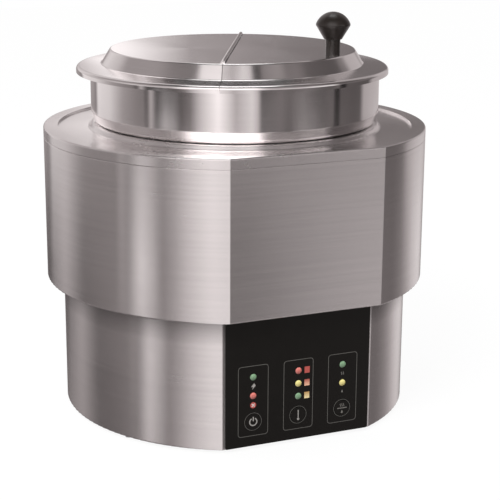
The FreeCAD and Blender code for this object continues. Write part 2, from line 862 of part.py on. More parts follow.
def make_transformer_coil():
    """The winding round the core's middle leg."""
    across, tall = transformer_window
    leg = transformer_core[0] / 2 - across
    bottom = plate_top + (transformer_core[2] - tall) / 2
    depth = transformer_core[1] + 2 * transformer_coil_bulge
    coil = block((leg + 2 * (across - transformer_play), depth, tall), transformer_place, bottom)
    uprights = [edge for edge in coil.Edges if is_upright(edge)]
    coil = coil.makeFillet(transformer_coil_bulge / 2, uprights)
    return coil.cut(block((leg, transformer_core[1], tall), transformer_place, bottom))


def make_terminals():
    """The terminal block under the heater legs, with a well for each wire."""
    y = leg_back
    body = block(terminal_size, (0, y), plate_top)
    across, along, deep = terminal_well
    pitch = terminal_size[0] / terminal_count
    wells = []
    for step in range(terminal_count):
        x = pitch * (step - (terminal_count - 1) / 2)
        well = block((across, along, deep), (x, y - terminal_size[1] / 2), terminal_top - deep)
        wells.append(well)
    return body.cut(wells)


def make_leads():
    """The two wires from the terminal block up to the heating element's legs."""
    return Part.makeCompound([cylinder(lead_radius, terminal_top, leg_end - terminal_top, place)
                              for place in leg_places])


def make_gland():
    """The cord gland: a domed cap against the round wall and a threaded tail inside."""
    cap = cylinder(gland_cap_radius, base_radius / 2, base_radius / 2 + gland_reach, gland_axis, BACK)
    cap = cap.cut(cylinder(base_radius, 0, overhang))
    tail = cylinder(gland_thread_radius, base_radius - gland_tail, gland_tail + gland_reach / 2,
                    gland_axis, BACK)
    gland = cap.fuse(tail).removeSplitter()
    nose = [edge for edge in gland.Edges if edge.BoundBox.YMin > base_radius + gland_reach - sheet]
    gland = gland.makeFillet(gland_reach / 3, nose)
    return gland.cut(cylinder(gland_bore, 0, 2 * base_radius, gland_axis, BACK))


def make_gland_nut():
    """The hexagon nut that holds the gland from inside the wall."""
    inside = base_radius - sheet
    nut = hexagon(gland_nut_width, inside - gland_nut_length, 2 * gland_nut_length, gland_axis, BACK)
    nut = nut.common(cylinder(inside, 0, overhang))
    return nut.cut(cylinder(gland_thread_radius + gland_play, 0, base_radius, gland_axis, BACK))


def make_lid_half(side):
    """One half of the lid, cut from the spun form along the hinge."""
    outside = [
        (0, lid_top),
        (lid_flat_radius, lid_top, crease_round + lid_sheet),
        (bevel_radius, brim_inner, crease_round),
        (brim_radius, brim_edge, brim_round),
        (brim_radius, brim_edge - lip_depth),
    ]
    lid = turned_sheet(outside, -lid_sheet)
    tall = lid_top - brim_edge + lip_depth
    keep = Part.makeBox(brim_radius, 2 * brim_radius, tall, V(0, -brim_radius, lid_top - tall))
    half = lid.common(keep.translate(V(seam_gap / 2, 0, 0)))
    slot_half = hinge_half + knuckle_gap
    slot = Part.makeBox(2 * hinge_slot, 2 * slot_half, 2 * lid_sheet,
                        V(-hinge_slot, -slot_half, lid_top - 1.5 * lid_sheet))
    half = half.cut(slot)
    if side > 0:
        return half.cut(cylinder(screw_hole, lid_under, lid_sheet, knob_place))
    half.rotate(V(0, 0, 0), UP, 180)
    return half


def make_hinge_leaf(side):
    """One hinge leaf: a strip under the lid with every second knuckle of the barrel."""
    axis = V(0, 0, hinge_axis)
    bottom = lid_under - leaf_sheet
    length = (2 * hinge_half - (knuckle_count - 1) * knuckle_gap) / knuckle_count
    corner = V(hinge_slot, -hinge_half, bottom)
    leaf = Part.makeBox(leaf_width - hinge_slot, 2 * hinge_half, leaf_sheet, corner)
    for step in range(1 if side > 0 else 0, knuckle_count, 2):
        start = -hinge_half + step * (length + knuckle_gap)
        tongue = Part.makeBox(hinge_slot, length, leaf_sheet, V(0, start, bottom))
        leaf = leaf.fuse([tongue, cylinder(knuckle_radius, start, length, axis, BACK)])
    leaf = leaf.cut(cylinder(knuckle_bore, -hinge_half, 2 * hinge_half, axis, BACK)).removeSplitter()
    if side < 0:
        leaf.rotate(V(0, 0, 0), UP, 180)
    return leaf


def make_hinge_pin():
    """The pin through all the knuckles."""
    return cylinder(pin_radius, -hinge_half, 2 * hinge_half, V(0, 0, hinge_axis), BACK)


def make_knob():
    """The turned knob: a straight stem, a flared head and a domed top."""
    rise = knob_height - knob_shoulder_height
    dome = (knob_radius**2 + rise**2) / (2 * rise)
    turn = math.asin(knob_radius / dome) / 2
    crown = V(dome * math.sin(turn), 0, knob_height - dome + dome * math.cos(turn))
    shoulder_point = V(knob_radius, 0, knob_shoulder_height)
    top = V(0, 0, knob_height)
    corners = [
        V(0, 0, 0),
        V(knob_stem_radius, 0, 0),
        V(knob_stem_radius, 0, knob_neck_height),
        V(knob_neck_radius, 0, knob_neck_height),
        shoulder_point,
    ]
    edges = [Part.makeLine(a, b) for a, b in zip(corners, corners[1:])]
    edges.append(Part.Arc(shoulder_point, crown, top).toShape())
    edges.append(Part.makeLine(top, corners[0]))
    knob = Part.Face(Part.Wire(edges)).revolve(V(0, 0, 0), UP, 360)
    knob = knob.makeFillet(knob_edge_round, level_edges(knob, knob_shoulder_height))
    knob = knob.cut(cylinder(screw_hole, 0, knob_bore_depth))
    return knob.translate(knob_place + UP * lid_top)


def make_knob_screw():
    """The screw that holds the knob from under the lid."""
    length = washer_thickness + lid_sheet + knob_bore_depth - knob_screw_play
    return screws([knob_place], lid_under - washer_thickness, length)


def make_knob_washer():
    """The washer under the knob's screw head."""
    return ring(washer_radius, screw_hole, lid_under - washer_thickness, washer_thickness, knob_place)


housing = {
    "base_shell": make_base_shell(),
    "bottom_plate": make_bottom_plate(),
    "rubber_feet": make_feet(),
    "foot_screws": screws(foot_places, foot_recess_depth, plate_top - foot_recess_depth + nut_height),
    "foot_nuts": nuts(foot_places, plate_top),
    "plate_screws": screws(flange_places, foot_gap, 2 * sheet + nut_height),
    "plate_nuts": nuts(flange_places, plate_top),
    "upper_shell": make_upper_shell(),
    "shell_screws": screws(flange_places, overhang - sheet, 2 * sheet + nut_height),
    "shell_nuts": nuts(flange_places, overhang + sheet),
    "top_cover": make_top_cover(),
    "well_pan": make_well_pan(),
    "well_gasket": make_well_gasket(),
    "heat_spreader": make_spreader(),
    "heating_element": make_element(),
    "element_retainer": make_retainer(),
    "insulation_pad": make_pad(),
    "heat_shield": make_shield(),
    "shield_posts": make_posts(),
    "heat_limiter": make_limiter(),
    "band_heater": make_band_heater(),
    "band_bolt": make_band_bolt(),
    "band_nut": make_band_nut(),
    "insulation_wrap": make_wrap(),
    "temperature_sensor": make_sensor(),
    "control_panel": make_panel(),
    "green_lamps": make_lamps(green_lamps),
    "red_lamps": make_lamps(red_lamps),
    "yellow_lamps": make_lamps(yellow_lamps),
    "key_switches": make_switches(),
    "control_board": make_board(),
    "board_spacers": make_spacers(),
    "board_screws": make_board_screws(),
    "controller_chip": make_chip(),
    "board_connector": make_connector(),
    "board_cable": make_board_cable(),
    "relay_heat_sink": make_heat_sink(),
    "heater_relay": make_relay(),
    "transformer_core": make_transformer_core(),
    "transformer_coil": make_transformer_coil(),
    "terminal_block": make_terminals(),
    "heater_leads": make_leads(),
    "cord_gland": make_gland(),
    "gland_nut": make_gland_nut(),
    "power_button": make_button(columns[0]),
    "heat_button": make_button(columns[1]),
    "mode_button": make_button(columns[2]),
    "inset_pot": make_inset_pot(),
}

lid = {
    "lid_fixed_half": make_lid_half(-1),
    "lid_hinged_half": make_lid_half(1),
    "hinge_leaf_fixed": make_hinge_leaf(-1),
    "hinge_leaf_hinged": make_hinge_leaf(1),
    "hinge_pin": make_hinge_pin(),
    "lid_knob": make_knob(),
    "knob_screw": make_knob_screw(),
    "knob_washer": make_knob_washer(),
}

os.makedirs("parts", exist_ok=True)
# The loose lid rests a little off the middle, toward its fixed half.
for shape in lid.values():
    shape.translate(V(-lid_slip, 0, 0))
    shape.rotate(V(0, 0, 0), UP, -hinge_turn)
for node, shape in {**housing, **lid}.items():
    shape.translate(axis_shift)
    shape.exportStep(f"parts/{node}.step")
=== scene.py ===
import math

import bmesh
import bpy
from mathutils import Matrix, Vector


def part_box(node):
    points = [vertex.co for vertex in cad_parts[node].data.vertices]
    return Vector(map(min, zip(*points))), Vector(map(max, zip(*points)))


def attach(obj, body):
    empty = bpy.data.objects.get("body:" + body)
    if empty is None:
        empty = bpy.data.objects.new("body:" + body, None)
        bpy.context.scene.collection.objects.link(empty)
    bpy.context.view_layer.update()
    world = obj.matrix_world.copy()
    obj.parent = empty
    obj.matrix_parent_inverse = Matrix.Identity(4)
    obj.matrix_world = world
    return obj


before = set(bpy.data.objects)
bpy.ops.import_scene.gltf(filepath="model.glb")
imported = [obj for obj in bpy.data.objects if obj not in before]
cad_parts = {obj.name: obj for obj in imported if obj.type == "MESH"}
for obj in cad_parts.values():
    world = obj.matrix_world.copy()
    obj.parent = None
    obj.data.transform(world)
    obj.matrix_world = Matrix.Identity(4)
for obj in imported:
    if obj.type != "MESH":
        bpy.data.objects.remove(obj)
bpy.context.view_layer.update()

# Soup kettle of brushed and polished steel with a black control panel, in a light studio.
# Metres, +Z up, the control front faces -Y.

MM = 0.001
WHITE = (1, 1, 1, 1)
BLACK = (0, 0, 0, 1)
scene = bpy.context.scene
scene.view_settings.view_transform = "Standard"

# Places read from the frame
well_low, well_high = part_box("well_pan")
axis = Vector(((well_low.x + well_high.x) / 2, (well_low.y + well_high.y) / 2, 0))
panel_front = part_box("control_panel")[0].y
base_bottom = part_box("base_shell")[0].z
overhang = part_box("upper_shell")[0].z
keys = {"power_key": "power_button", "heat_key": "heat_button", "mode_key": "mode_button"}

# Camera: lens and sensor in millimetres, places in metres, angles in degrees
camera_lens = 102.8
camera_sensor = 36.0
camera_distance = 1.377
camera_height = 0.5186
camera_bearing = -22.8
camera_yaw = 0.65
camera_pitch = 15.09
camera_roll = 0.35

# Steel: its colour, and the wear and relief of its surface
warm_steel = (0.69, 0.672, 0.67)
crosswise = 0.25
smudge_scale = 14.0
smudge_wear = 0.02
grain_wear = 0.01
grain_depth = 0.02

# Steel by its place: the grain gives lines per metre along and across it
wall_finish = {"roughness": 0.25, "anisotropy": 0.96, "along": 3.0, "across": 550.0,
               "contrast": 0.05, "bump": 0.03}
polished_finish = {"roughness": 0.12, "anisotropy": 0.96, "along": 6.0, "across": 900.0,
                   "contrast": 0.03, "bump": 0.04}
deck_finish = {"roughness": 0.26, "anisotropy": 0.93, "along": 5.0, "across": 350.0,
               "contrast": 0.03, "bump": 0.008}

# Painted shade on the base's wall close under the overhang: share of colour left, reach in
# millimetres
overhang_shade = 0.38
overhang_shade_reach = 26.0

# Moulded, cast and printed finishes
film_black = (0.0065, 0.0057, 0.0047)
film_scale = 2500.0
ink_roughness = 0.5
broad_mottle = 25
uneven_gloss = 0.06
coat_roughness = 0.12
moulded_depth = 0.05
noise_low = 0.3
noise_high = 0.7

# Lamp lenses, with painted shade: darker where the dome faces down, lighter where it faces up
lens_shadow = 0.5
lens_light = 1.5
lens_tilt = 0.5
lens_glow = 0.12
lens_depth = 0.2

# Control panel print, in millimetres
ink = 0.05
frame_width = 30.0
frame_bottom = 10.8
frame_top = 78.8
frame_corner = 3.0
frame_line = 0.5
key_ring_radius = 8.2
key_ring_line = 0.4
ring_steps = 48
lamp_height = 67.7
lamp_pair_pitch = 18.0
lamp_row_pitch = 12.4
square_offset = 8.7
square_width = 5.2
square_height = 6.2
bolt_drop = 8.8
fault_drop = 9.0
fault_radius = 2.9
wet_drop = 8.6
dry_drop = 8.2
steam_line = 0.6
cross_half_width = 0.55
cross_reach = 2.0

# Studio light
world_level = 0.7
floor_paint = (0.85, 0.85, 0.85, 1)
floor_glow = 1.06
floor_glow_share = 0.85
floor_reach = 4.0
key_light_size = 1.2
key_light_power = 26.0
key_light_place = Vector((-1.3, -1.2, 1.9))
key_light_target = Vector((0, 0, 0.2))

# Studio screen: a round wall with rings of light and dark cards, which only reflections see.
# Each ring lists bearings from the camera in degrees, with the level there. The low rings show
# in the walls, the high ones in the deck and the lid.
screen_radius = 2.2
screen_bottom = -8.0
screen_top = 4.5
screen_steps = 96
screen_level = 2.5
card_warmth = 0.87
bright_warmth = 0.94
base_cards = [
    (-180, 0.3), (-155, 0.2), (-135, 0.32), (-120, 0.38), (-99, 0.1), (-76, 0.15), (-66, 0.16),
    (-57, 0.38), (-51, 0.14), (-41, 0.32), (-27, 0.7), (-5, 1.1), (20, 1.0), (42, 0.06), (53, 0.7),
    (75, 0.35), (106, 0.15), (124, 0.34), (132, 0.6), (146, 0.8), (158, 0.1), (180, 0.3),
]
wall_cards = [
    (-180, 0.3), (-150, 0.06), (-132, 0.16), (-118, 0.38), (-99, 0.02), (-76, 0.32), (-63, 0.6),
    (-54, 2.5), (-47, 1.75), (-41, 0.4), (-34, 0.54), (-25, 0.64), (-5, 0.74), (20, 0.64),
    (42, 0.11), (53, 0.9), (75, 0.45), (106, 0.22), (124, 0.5), (132, 0.85), (148, 1.0),
    (160, 0.2), (180, 0.3),
]
collar_cards = [
    (-180, 0.6), (-162, 0.4), (-146, 0.4), (-140, 0.3), (-134, 1.05), (-112, 0.95), (-94, 0.5),
    (-80, 0.32), (-73, 0.26), (-71, 0.12), (-69, 0.16), (-66, 0.6), (-61, 0.02), (-50, 0.03),
    (-38, 0.13), (-33, 0.2), (-25, 0.8), (-12, 1.5), (1, 0.58), (13, 1.0), (17, 0.7), (20, 0.05),
    (34, 0.2), (50, 0.15), (70, 0.08), (80, 0.14), (82, 0.0), (86, 0.0), (88, 0.12), (113, 0.12),
    (119, 0.55), (180, 0.6),
]
deck_cards = [
    (-180, 0.36), (-177, 0.42), (-175, 0.8), (-173, 1.15), (-172, 1.25), (-170.3, 1.2),
    (-169.3, 0.65), (-166, 0.6), (-145, 0.9), (-110, 0.6), (-75, 0.85), (-48, 0.75), (-42, 0.6),
    (-37, 1.15), (18, 1.15), (26, 0.8), (50, 0.9), (58, 1.15), (76, 1.15), (82, 0.2), (122, 0.2),
    (130, 0.6), (150, 0.6), (160, 0.2), (170, 0.2), (176, 0.24), (180, 0.36),
]
front_cards = [
    (-180, 0.7), (-165, 0.78), (-150, 0.88), (-138, 0.7), (-118, 0.42), (-75, 0.45), (-63, 0.45),
    (-53, 0.65), (-45, 0.9), (-38, 1.7), (-30, 2.2), (19, 2.2), (25, 0.9), (30, 0.55), (37, 0.4),
    (66, 0.35), (80, 0.15), (116, 0.12), (126, 0.5), (160, 0.5), (180, 0.7),
]
ceiling_cards = [
    (-180, 0.8), (-145, 0.95), (-130, 1.0), (-117, 0.35), (-104, 0.25), (-75, 0.24), (-44, 0.2),
    (-40, 0.3), (-36, 1.15), (-16, 1.4), (-1, 0.7), (13, 1.1), (21, 0.85), (24, 0.02), (31, 0.02),
    (34, 0.3), (54, 0.42), (62, 0.22), (86, 0.2), (116, 0.12), (126, 0.5), (160, 0.6), (180, 0.8),
]
dark_cards = [(-180, 0.15), (180, 0.15)]

# Height of each ring in metres, with a blend from one to the next
tiers = [
    (-0.8, base_cards), (-0.4, wall_cards), (-0.02, collar_cards), (0.35, collar_cards),
    (0.5, deck_cards), (1.15, deck_cards), (1.4, front_cards), (2.2, front_cards),
    (2.7, ceiling_cards), (3.6, ceiling_cards), (4.0, dark_cards),
]

# Bright cards are stronger in a second and third reflection, for the deck in front of the inset
bounce_gain = 1.6
gain_from_level = 0.4
gain_full_level = 1.2
single_bounce = 1.0
triple_bounce = 3.0

# A dark ceiling with one bright round card behind the kettle
ceiling_level = 0.15
ceiling_steps = 48
top_card_level = 3.0
top_card_radius = 1.0
top_card_edge = 1.2
top_card_offset = 1.4


def feed(tree, node, **inputs):
    """Links or sets a node's inputs, by name or, as i0, i1 and so on, by place."""
    for key, value in inputs.items():
        by_place = key[1:].isdigit()
        socket = node.inputs[int(key[1:])] if by_place else node.inputs[key.replace("_", " ")]
        if isinstance(value, bpy.types.NodeSocket):
            tree.links.new(value, socket)
        else:
            socket.default_value = value


def add(tree, kind, settings=None, **inputs):
    """A shader node with its settings, and its inputs set or linked."""
    node = tree.nodes.new("ShaderNode" + kind)
    for key, value in (settings or {}).items():
        setattr(node, key, value)
    feed(tree, node, **inputs)
    return node


def math_node(tree, operation, first, second):
    """The result of a math node."""
    return add(tree, "Math", {"operation": operation}, i0=first, i1=second).outputs[0]


def span(tree, value, low, high, start=0.0, end=1.0):
    """A value mapped from one range to another, and held to it."""
    node = add(tree, "MapRange", None, Value=value, From_Min=start, From_Max=end,
               To_Min=low, To_Max=high)
    return node.outputs[0]


def blend_colours(tree, factor, first, second):
    """Two colours mixed by a factor."""
    return add(tree, "Mix", {"data_type": "RGBA"}, i0=factor, i6=first, i7=second).outputs[2]


def split(tree, vector):
    """The three parts of a vector."""
    return add(tree, "SeparateXYZ", None, Vector=vector).outputs


def shaded(colour, share):
    """A colour made lighter or darker, with its alpha."""
    return tuple(min(1.0, part * share) for part in colour) + (1.0,)


def new_material(name):
    """An empty node material with its Principled shader."""
    material = bpy.data.materials.new(name)
    material.use_nodes = True
    tree = material.node_tree
    return material, tree, tree.nodes["Principled BSDF"]


def object_point(tree):
    """The point in the part's own frame, from the well's axis."""
    place = add(tree, "TexCoord").outputs["Object"]
    return add(tree, "VectorMath", {"operation": "SUBTRACT"}, i0=place, i1=axis).outputs[0]


def noise(tree, vector, scale, detail, roughness):
    """A noise value at a scale."""
    node = add(tree, "TexNoise", None, Vector=vector, Scale=scale, Detail=detail,
               Roughness=roughness)
    return node.outputs[0]


def wall_grain(tree, along, across):
    """Brush lines that run level round a wall."""
    stretched = add(tree, "VectorMath", {"operation": "MULTIPLY"}, i0=object_point(tree),
                    i1=(along, along, across))
    return noise(tree, stretched.outputs[0], scale=1.0, detail=2.0, roughness=0.5)


def spun_grain(tree, along, across):
    """Polishing lines that run in circles round the well's axis."""
    x, y, z = split(tree, object_point(tree))
    flat = add(tree, "CombineXYZ", None, X=x, Y=y, Z=0.0).outputs[0]
    radius = add(tree, "VectorMath", {"operation": "LENGTH"}, i0=flat).outputs["Value"]
    vector = add(tree, "CombineXYZ", None, X=math_node(tree, "MULTIPLY", radius, across),
                 Y=math_node(tree, "MULTIPLY", z, across),
                 Z=math_node(tree, "MULTIPLY", x, along))
    node = add(tree, "TexNoise", {"noise_dimensions": "4D"}, Vector=vector.outputs[0],
               W=math_node(tree, "MULTIPLY", y, along), Scale=1.0, Detail=1.0)
    return node.outputs[0]


def steel(name, grain, roughness, anisotropy, along, across, contrast, bump):
    """Steel with a brushed or spun grain, faint smudges and worn patches."""
    material, tree, shader = new_material(name)
    smudge = noise(tree, object_point(tree), smudge_scale, detail=4.0, roughness=0.6)
    lines = grain(tree, along, across)
    tangent = add(tree, "Tangent", {"direction_type": "RADIAL", "axis": "Z"})
    tint = blend_colours(tree, lines, shaded(warm_steel, 1 - contrast),
                         shaded(warm_steel, 1 + contrast))
    patches = span(tree, smudge, -smudge_wear, smudge_wear, noise_low, noise_high)
    worn = math_node(tree, "ADD", patches, span(tree, lines, -grain_wear, grain_wear))
    relief = add(tree, "Bump", None, Strength=bump, Distance=grain_depth * MM, Height=lines)
    feed(tree, shader, Metallic=1.0, Anisotropic=anisotropy, Anisotropic_Rotation=crosswise,
         Tangent=tangent.outputs[0], Base_Color=tint, Normal=relief.outputs[0],
         Roughness=math_node(tree, "ADD", worn, roughness))
    return material


def shade_under(material, height):
    """Paints shade into a steel's colour, darker where it comes close under a ledge at a height."""
    tree = material.node_tree
    shader = tree.nodes["Principled BSDF"]
    plain = shader.inputs["Base Color"].links[0].from_socket
    z = split(tree, object_point(tree))[2]
    shade = span(tree, z, 1.0, overhang_shade, height - overhang_shade_reach * MM, height)
    feed(tree, shader, Base_Color=blend_colours(tree, shade, BLACK, plain))


def moulded(name, colour, roughness, scale, contrast=0.12, bump=0.1, metallic=0.0, coat=0.0,
            gloss=0.5):
    """A moulded, cast or printed finish: mottled colour, uneven gloss and a fine relief."""
    material, tree, shader = new_material(name)
    point = object_point(tree)
    fine, broad = [noise(tree, point, size, detail=3.0, roughness=0.6)
                   for size in (scale, scale / broad_mottle)]
    mottle = math_node(tree, "MULTIPLY", math_node(tree, "ADD", fine, broad), 0.5)
    tint = blend_colours(tree, mottle, shaded(colour, 1 - contrast), shaded(colour, 1 + contrast))
    rough = span(tree, mottle, roughness - uneven_gloss, roughness + uneven_gloss,
                 noise_low, noise_high)
    relief = add(tree, "Bump", None, Strength=bump, Distance=moulded_depth * MM, Height=fine)
    feed(tree, shader, Base_Color=tint, Roughness=rough, Metallic=metallic,
         Specular_IOR_Level=gloss, Coat_Weight=coat, Coat_Roughness=coat_roughness,
         Normal=relief.outputs[0])
    return material


def lens(name, colour):
    """A coloured lamp lens: clear-coated plastic, with painted shade that makes the dome lighter
    where it faces up.
    """
    material = moulded(name, colour, roughness=0.3, scale=900.0, contrast=0.1, bump=0.03, coat=0.6)
    tree = material.node_tree
    # Painted shade: the colour, and the glow with it, runs from dark where the dome faces down to
    # light where it faces up
    shade_by_facing = split(tree, add(tree, "NewGeometry").outputs["Normal"])[2]
    tint = blend_colours(tree, span(tree, shade_by_facing, 0.0, 1.0, -lens_tilt, lens_tilt),
                         shaded(colour, lens_shadow), shaded(colour, lens_light))
    feed(tree, tree.nodes["Principled BSDF"], Base_Color=tint, Emission_Color=tint,
         Emission_Strength=lens_glow, Subsurface_Weight=lens_depth,
         Subsurface_Radius=(MM, MM, MM))
    return material


def flat_ink(name, colour):
    """A printing ink of one colour."""
    return moulded(name, colour, ink_roughness, film_scale)


def fading_ink(name, foot, head):
    """An ink that fades from one colour at its foot to another at its head."""
    material = flat_ink(name, head)
    tree = material.node_tree
    height = split(tree, add(tree, "TexCoord").outputs["Generated"])[2]
    tint = blend_colours(tree, height, shaded(foot, 1.0), shaded(head, 1.0))
    feed(tree, tree.nodes["Principled BSDF"], Base_Color=tint)
    return material


# Finishes for the frame's materials: colour, roughness, scale, and where given contrast and bump
finishes = {
    "shell_steel": steel("brushed_steel", wall_grain, **wall_finish),
    "polished_steel": steel("spun_steel", spun_grain, **polished_finish),
    "plain_steel": moulded("zinc_steel", (0.55, 0.56, 0.58), 0.4, 800.0, metallic=1.0),
    "heater_alloy": moulded("heater_alloy", (0.32, 0.3, 0.28), 0.5, 600.0, metallic=1.0),
    "spreader_aluminium": moulded("cast_aluminium", (0.7, 0.7, 0.7), 0.45, 500.0, metallic=1.0),
    "panel_black": moulded("panel_film", film_black, 0.36, film_scale, 0.2, 0.05, gloss=0.2),
    "key_black": moulded("key_film", film_black, 0.42, film_scale, 0.2, 0.08, gloss=0.2),
    "lamp_green": lens("lens_green", (0.16, 0.28, 0.16)),
    "lamp_red": lens("lens_red", (0.55, 0.145, 0.12)),
    "lamp_yellow": lens("lens_yellow", (0.72, 0.59, 0.22)),
    "phenolic_black": moulded("phenolic", (0.014, 0.01, 0.008), 0.3, 1200.0, 0.25, 0.05),
    "rubber_black": moulded("rubber", (0.02, 0.02, 0.02), 0.75, 900.0, 0.2, 0.3),
    "nylon_black": moulded("nylon", (0.02, 0.02, 0.021), 0.5, 1500.0, 0.2, 0.2),
    "board_green": moulded("board", (0.03, 0.16, 0.07), 0.35, 700.0, 0.2, 0.1),
    "fibre_white": moulded("fibre", (0.75, 0.72, 0.66), 0.9, 350.0, 0.15, 0.6),
    "copper": moulded("winding", (0.6, 0.27, 0.12), 0.4, 900.0, metallic=1.0),
    "cable_grey": moulded("cable_jacket", (0.3, 0.3, 0.31), 0.55, 1200.0),
}
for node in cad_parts.values():
    for place in node.material_slots:
        place.material = finishes[place.material.name]
base_steel = steel("base_steel", wall_grain, **wall_finish)
# Painted shade in the base's colour, close under the overhang
shade_under(base_steel, overhang)
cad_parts["base_shell"].material_slots[0].material = base_steel
deck_steel = steel("deck_steel", spun_grain, **deck_finish)
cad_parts["top_cover"].material_slots[0].material = deck_steel

ink_grey = flat_ink("ink_grey", (0.12, 0.115, 0.105))
ink_dim = flat_ink("ink_dim", (0.18, 0.17, 0.155))
ink_pale = flat_ink("ink_pale", (0.36, 0.34, 0.32))
ink_white = flat_ink("ink_white", (0.66, 0.55, 0.53))
ink_red = flat_ink("ink_red", (0.5, 0.085, 0.07))
ink_warm = fading_ink("ink_warm", (0.92, 0.52, 0.34), (0.42, 0.07, 0.055))
ink_low = fading_ink("ink_low", (0.95, 0.78, 0.42), (0.5, 0.28, 0.09))


def arc(centre, radius, start, end, steps):
    """Points along an arc, in degrees from +X."""
    turns = [math.radians(start + (end - start) * step / steps) for step in range(steps + 1)]
    return [(centre[0] + radius * math.cos(turn), centre[1] + radius * math.sin(turn))
            for turn in turns]


def circle(radius, steps):
    """Points round a circle."""
    return arc((0, 0), radius, 0, 360, steps)[:-1]


def rounded(width, bottom, top, corner):
    """The outline of an upright rectangle with round corners, centred on x = 0."""
    half = width / 2 - corner
    corners = [(half, bottom + corner, -90), (half, top - corner, 0), (-half, top - corner, 90),
               (-half, bottom + corner, 180)]
    return [point for x, z, start in corners
            for point in arc((x, z), corner, start, start + 90, steps=6)]


def band(outer, inner, closed=True):
    """The quads between two lines of points."""
    count = len(outer)
    last = count if closed else count - 1
    return [[outer[i], outer[(i + 1) % count], inner[(i + 1) % count], inner[i]]
            for i in range(last)]


def bar(left, right, bottom, top):
    """An upright rectangle."""
    return [(left, bottom), (right, bottom), (right, top), (left, top)]


def drop(width, bottom, top):
    """A drop with its point up."""
    radius = width / 2
    return arc((0, bottom + radius), radius, start=150, end=390, steps=16) + [(0, top)]


def wave(left, bottom, top, line, swing):
    """A rising wavy stroke as quads."""
    steps = 10
    middle = [(left + swing * math.sin(2 * math.pi * step / steps),
               bottom + (top - bottom) * step / steps) for step in range(steps + 1)]
    left_side = [(u - line / 2, v) for u, v in middle]
    right_side = [(u + line / 2, v) for u, v in middle]
    return band(left_side, right_side, closed=False)


def steam(lefts, bottom, top, swing):
    """Wavy strokes side by side."""
    return [quad for left in lefts for quad in wave(left, bottom, top, steam_line, swing)]


def power_mark():
    """An open ring with a bar in its gap."""
    outer, inner = [arc((0, 0), radius, start=120, end=420, steps=40) for radius in (4.1, 3.0)]
    return band(outer, inner, closed=False) + [bar(left=-0.55, right=0.55, bottom=0.6, top=4.8)]


def heat_mark():
    """A thermometer: a thin tube and its bulb."""
    bulb_drop = 4.0
    bulb = [(u, v - bulb_drop) for u, v in circle(radius=1.2, steps=32)]
    return [bar(left=-0.45, right=0.45, bottom=-3.2, top=4.9), bulb]


def mode_mark():
    """Steam over a line and a drop under it."""
    line = bar(left=-5.0, right=5.0, bottom=-0.45, top=0.45)
    return (steam((-1.7, 0.0, 1.7), bottom=1.5, top=4.6, swing=0.35)
            + [line, drop(width=2.0, bottom=-5.2, top=-1.8)])


def bolt_mark():
    """A lightning bolt, as three faces between its corners."""
    tip, left, notch, inner = (0.9, 3.0), (-2.2, -0.4), (-0.2, -0.4), (0.4, 0.5)
    right, foot = (2.4, 0.5), (-1.2, -3.2)
    return [[tip, left, notch], [tip, notch, inner, right], [notch, foot, right, inner]]


def cross_mark():
    """Two crossed strokes."""
    half = cross_half_width / math.sqrt(2)
    reach = cross_reach / math.sqrt(2)
    return [[(-side * reach - half * side, -reach + half),
             (-side * reach + half * side, -reach - half),
             (side * reach + half * side, reach - half),
             (side * reach - half * side, reach + half)] for side in (-1, 1)]


def printed(name, faces, material, body, x, z, front):
    """A print of flat faces, in millimetres from a point on the front, as a thin closed solid."""
    build = bmesh.new()
    for face in faces:
        corners = [build.verts.new((x + u * MM, front, z + v * MM)) for u, v in face]
        build.faces.new(corners)
    bmesh.ops.remove_doubles(build, verts=build.verts[:], dist=0.001 * MM)
    raised = bmesh.ops.extrude_face_region(build, geom=build.faces[:])["geom"]
    top = [part for part in raised if isinstance(part, bmesh.types.BMVert)]
    bmesh.ops.translate(build, verts=top, vec=(0, -ink * MM, 0))
    bmesh.ops.recalc_face_normals(build, faces=build.faces[:])
    mesh = bpy.data.meshes.new(name)
    build.to_mesh(mesh)
    build.free()
    mesh.materials.append(material)
    piece = bpy.data.objects.new(name, mesh)
    scene.collection.objects.link(piece)
    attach(piece, body)


def sign(name, faces, material, x, z, layer=0):
    """A print on the panel, over a number of layers of ink."""
    printed(name, faces, material, "housing", x, z, panel_front - layer * ink * MM)


def print_keys():
    """Each key's frame, ring and mark, and where the keys stand from left to right."""
    marks = {"power_key": (power_mark(), ink_pale), "heat_key": (heat_mark(), ink_pale),
             "mode_key": (mode_mark(), ink_dim)}
    outer = rounded(frame_width, frame_bottom, frame_top, frame_corner)
    inner = rounded(frame_width - 2 * frame_line, frame_bottom + frame_line,
                    frame_top - frame_line, frame_corner - frame_line)
    ring = band(circle(key_ring_radius + key_ring_line, ring_steps),
                circle(key_ring_radius, ring_steps))
    columns = []
    for body, node in keys.items():
        low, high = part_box(node)
        x, z = (low.x + high.x) / 2, (low.z + high.z) / 2
        columns.append(x)
        sign(f"{body}_frame", band(outer, inner), ink_grey, x, base_bottom)
        sign(f"{body}_ring", ring, ink_grey, x, z)
        printed(f"{body}_mark", *marks[body], body, x, z, low.y)
    return columns


